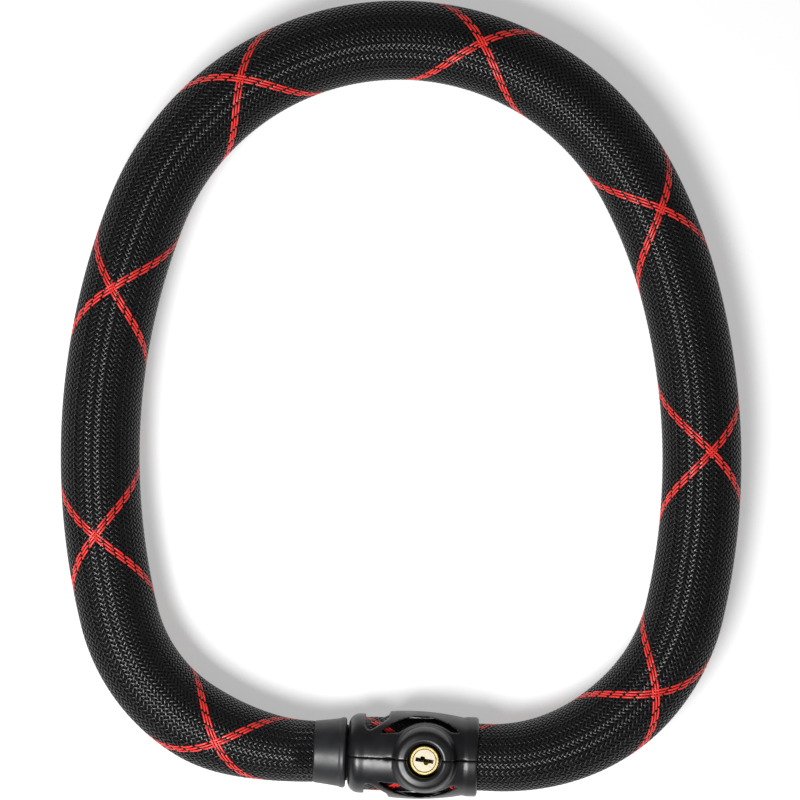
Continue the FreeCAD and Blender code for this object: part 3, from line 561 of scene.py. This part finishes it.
def make_liner():
    """The dull black inner cloth that shows between the strands."""
    made = material("liner_cloth", (0.005, 0.005, 0.0055), 0.9)
    patches = noise_on(made, scale=1500, detail=4.0)
    color_by(made, patches, dark=(0.003, 0.003, 0.0035), light=(0.008, 0.008, 0.009))
    bump_by(made, noise_on(made, scale=2500, detail=3.0), depth=0.05 * MM, strength=0.6)
    return made


def make_moulded(name, dark, light, rough):
    """Moulded black plastic: a fine grain over a coarser unevenness, with small changes of sheen."""
    made = material(name, dark, rough[0], Specular_IOR_Level=0.5)
    color_by(made, noise_on(made, scale=160, detail=5.0), dark, light, span=(0.35, 0.7))
    roughness_by(made, noise_on(made, scale=220, detail=6.0), *rough)
    bump_by(made, noise_on(made, scale=5200, detail=3.0), depth=0.02 * MM, strength=0.35)
    bump_by(made, noise_on(made, scale=700, detail=4.0), depth=0.03 * MM, strength=0.3)
    return made


def make_metal(name, dark, light, rough):
    """Plated or machined metal, its colour wandering between two tones, with a fine grain."""
    made = material(name, dark, rough[0], metallic=1.0)
    color_by(made, noise_on(made, scale=420, detail=5.0), dark, light, span=(0.35, 0.65))
    roughness_by(made, noise_on(made, scale=900, detail=4.0), *rough)
    bump_by(made, noise_on(made, scale=2600, detail=3.0), depth=0.02 * MM, strength=0.35)
    return made


# ---- shells -----------------------------------------------------------------------------------------

def apply_modifiers(obj):
    """Apply an object's modifiers to its mesh."""
    graph = bpy.context.evaluated_depsgraph_get()
    made = bpy.data.meshes.new_from_object(obj.evaluated_get(graph))
    obj.modifiers.clear()
    old = obj.data
    obj.data = made
    bpy.data.meshes.remove(old)


def shape_dome(obj):
    """Round the key cylinder, raise the dome's shoulder and run its foot softly into the jacket."""
    count = len(obj.data.vertices)
    points = np.empty(count * 3, np.float32)
    obj.data.vertices.foreach_get("co", points)
    points = points.reshape(-1, 3)
    reach = np.hypot(points[:, 0] - LOCK_X, points[:, 1] - LOCK_Y)
    height = points[:, 2] - AXIS_Z
    foot = smooth_step(reach, *FOOT_INNER) * (1 - smooth_step(reach, *FOOT_OUTER))
    foot = foot * smooth_step(height, *FOOT_HEIGHT)
    shoulder = smooth_step(reach, *SHOULDER_INNER) * (1 - smooth_step(reach, *SHOULDER_OUTER))
    points[:, 2] += SHOULDER_RISE * shoulder * smooth_step(height, *SHOULDER_HEIGHT)
    obj.data.vertices.foreach_set("co", points.astype(np.float32).ravel())
    group = obj.vertex_groups.new(name="foot")
    for level in range(1, FOOT_LEVELS + 1):
        chosen = np.flatnonzero(np.rint(foot * FOOT_LEVELS) == level)
        group.add(chosen.tolist(), level / FOOT_LEVELS, "REPLACE")
    smooth = obj.modifiers.new("foot", "SMOOTH")
    smooth.vertex_group = "foot"
    smooth.factor = 0.5
    smooth.iterations = FOOT_SMOOTHING
    apply_modifiers(obj)
    obj.vertex_groups.clear()


def softened_copy(node, name, finish):
    """A moulded copy of a CAD node with its sharp edges rounded over."""
    source = frame["nodes"][node]
    copy = bpy.data.objects.new(name, source.data.copy())
    bpy.context.scene.collection.objects.link(copy)
    remesh = copy.modifiers.new("remesh", "REMESH")
    remesh.mode = "VOXEL"
    remesh.voxel_size = JACKET_VOXEL
    remesh.use_smooth_shade = True
    smooth = copy.modifiers.new("smooth", "SMOOTH")
    smooth.factor = 0.5
    smooth.iterations = JACKET_SMOOTHING
    apply_modifiers(copy)
    shape_dome(copy)
    copy.data.materials.clear()
    copy.data.materials.append(finish)
    copy.data.polygons.foreach_set("material_index", np.zeros(len(copy.data.polygons), np.int32))
    copy.data.polygons.foreach_set("use_smooth", np.ones(len(copy.data.polygons), bool))
    return copy


def lathe(name, profile, finish):
    """A ring turned round the lock's axis from a closed outline of (x, radius) in millimetres."""
    outline = np.array(profile) * MM
    angle = np.linspace(0, 2 * math.pi, RING_SIDES, endpoint=False)[:, None]
    points = np.stack([
        np.broadcast_to(LOCK_X + outline[:, 0], (RING_SIDES, len(outline))),
        LOCK_Y + outline[:, 1] * np.cos(angle),
        AXIS_Z + outline[:, 1] * np.sin(angle),
    ], axis=-1)
    # reversed, so that the faces look out of the ring
    faces = tube_faces(RING_SIDES, len(outline), ring=True)[:, ::-1]
    return mesh_object(name, points.reshape(-1, 3), faces, [finish])


def arc_points(centre, radius, start, end, count):
    """Points of an arc in a lathe outline, angles in degrees from the x direction towards more radius."""
    angle = np.radians(np.linspace(start, end, count))
    return [(centre[0] + radius * math.cos(a), centre[1] + radius * math.sin(a)) for a in angle]


def make_collar(finish):
    """The tapered collar on the stud, rounded over at both ends."""
    outline = arc_points(*SMALL_END_ROUND, 180, 95, count=6) + COLLAR_FLARE
    outline += arc_points(*WIDE_END_ROUND, 95, 0, count=8) + COLLAR_REGISTER + COLLAR_BORE
    collar = lathe("collar_ring", outline, finish)
    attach(collar, "stud")
    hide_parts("collar")


def make_jacket(finish):
    """The jacket's two moulded halves."""
    for node in ("jacket_upper", "jacket_lower"):
        half = softened_copy(node, node.replace("jacket", "cover"), finish)
        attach(half, "lock")
        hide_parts(node)


# ---- scene ------------------------------------------------------------------------------------------

def paint_nodes(finishes):
    """Give every CAD node the finish of its slot, or the blackened one."""
    for name, node in frame["nodes"].items():
        slot = next(p["material_slot"] for p in frame["record"]["subparts"] if p["node"] == name)
        node.data.materials.clear()
        node.data.materials.append(finishes["blackened" if name in BLACKENED else slot])


def make_floor():
    """A pale paper floor that glows slightly, so that it stays pale under a soft light."""
    mesh = bpy.data.meshes.new("floor")
    corners = [(-1, -1), (1, -1), (1, 1), (-1, 1)]
    mesh.from_pydata([(x * FLOOR_HALF, y * FLOOR_HALF, 0) for x, y in corners], [], [(0, 1, 2, 3)])
    glow = {"Emission_Color": (*WHITE, 1.0), "Emission_Strength": FLOOR_GLOW}
    paper = material("floor_paper", (FLOOR_GREY,) * 3, 0.9, Specular_IOR_Level=0.1, **glow)
    mesh.materials.append(paper)
    floor = bpy.data.objects.new("floor", mesh)
    bpy.context.scene.collection.objects.link(floor)


def make_light():
    """An even pale surround and one softbox, facing the middle of the loop."""
    world = bpy.data.worlds.new("studio")
    bpy.context.scene.world = world
    world.use_nodes = True
    world.node_tree.nodes["Background"].inputs["Color"].default_value = (*WHITE, 1.0)
    world.node_tree.nodes["Background"].inputs["Strength"].default_value = WORLD_STRENGTH
    data = bpy.data.lights.new("key", "AREA")
    data.shape = "RECTANGLE"
    data.size, data.size_y = KEY_SIZE
    data.energy = KEY_POWER
    light = bpy.data.objects.new("key", data)
    light.location = KEY_PLACE
    light.rotation_euler = (-Vector(KEY_PLACE)).to_track_quat("-Z", "Y").to_euler()
    bpy.context.scene.collection.objects.link(light)


def make_camera():
    """A long lens straight above the loop."""
    data = bpy.data.cameras.new("camera")
    data.sensor_width = SENSOR_WIDTH
    data.lens = LENS
    camera = bpy.data.objects.new("camera", data)
    camera.location = (*CAMERA_SHIFT, AXIS_Z + CAMERA_HEIGHT)
    camera.rotation_euler = (0.0, 0.0, CAMERA_ROLL)
    bpy.context.scene.collection.objects.link(camera)
    bpy.context.scene.camera = camera
    bpy.context.scene.view_settings.view_transform = "Standard"


jacket_plastic = make_moulded("jacket_plastic", (0.005, 0.0052, 0.006), (0.009, 0.0095, 0.011), (0.3, 0.4))
collar_plastic = make_moulded("collar_plastic", (0.011, 0.0115, 0.013), (0.017, 0.018, 0.02), (0.4, 0.52))
braid = [make_braid_black(), make_braid_red(), make_liner()]
make_sleeve(braid)
make_jacket(jacket_plastic)
make_collar(collar_plastic)
paint_nodes({
    "hardened_steel": make_metal("hardened_steel", (0.2, 0.2, 0.21), (0.3, 0.3, 0.31), (0.3, 0.5)),
    "blackened": make_metal("blackened_steel", (0.02, 0.02, 0.021), (0.05, 0.05, 0.052), (0.42, 0.6)),
    "small_steel": make_metal("small_steel", (0.5, 0.5, 0.51), (0.62, 0.62, 0.63), (0.25, 0.4)),
    "nickel": make_metal("nickel", (0.42, 0.4, 0.36), (0.47, 0.4, 0.25), (0.34, 0.48)),
    "brass": make_metal("brass", (0.5, 0.37, 0.14), (0.66, 0.52, 0.24), (0.28, 0.42)),
    "sleeve": braid[-1],
    "jacket": jacket_plastic,
    "collar": collar_plastic,
})
make_floor()
make_light()
make_camera()
